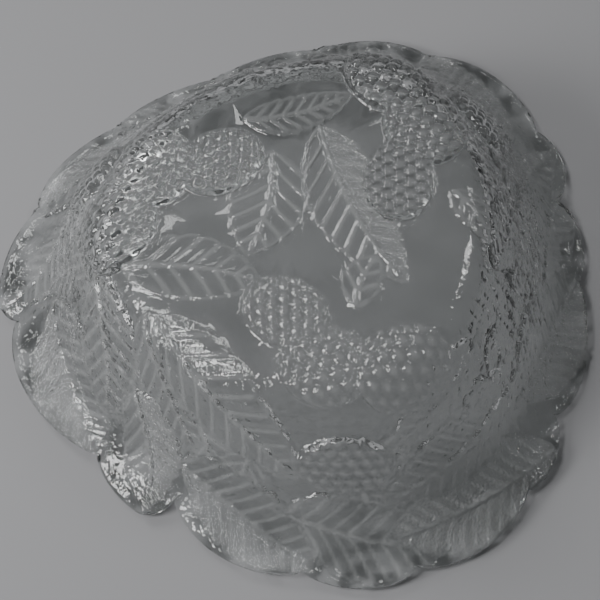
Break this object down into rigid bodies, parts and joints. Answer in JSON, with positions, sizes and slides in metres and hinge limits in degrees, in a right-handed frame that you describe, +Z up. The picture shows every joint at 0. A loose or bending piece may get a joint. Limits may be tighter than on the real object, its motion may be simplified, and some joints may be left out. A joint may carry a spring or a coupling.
{
  "type": "pressed glass bowl",
  "caption": "Shallow three-sided bowl of clear pressed glass with a scalloped leaf rim and raised berries and leaves outside, standing rim down",
  "frame": {"origin": "middle of the rim's outline, on the surface that the rim stands on", "axes": "+Z up, from the rim to the foot, because the bowl is stored upside down; -Y is the side nearest the viewer; turn it by 180 degrees about X to use it as a bowl"},
  "size_m": [0.2346, 0.2342, 0.064],
  "materials": {
    "glass": "clear soda-lime glass, pressed in a mould and fire polished, with stippled leaf tips"
  },
  "bodies": {
    "root": {"bowl": "glass"}
  },
  "joints": []
}
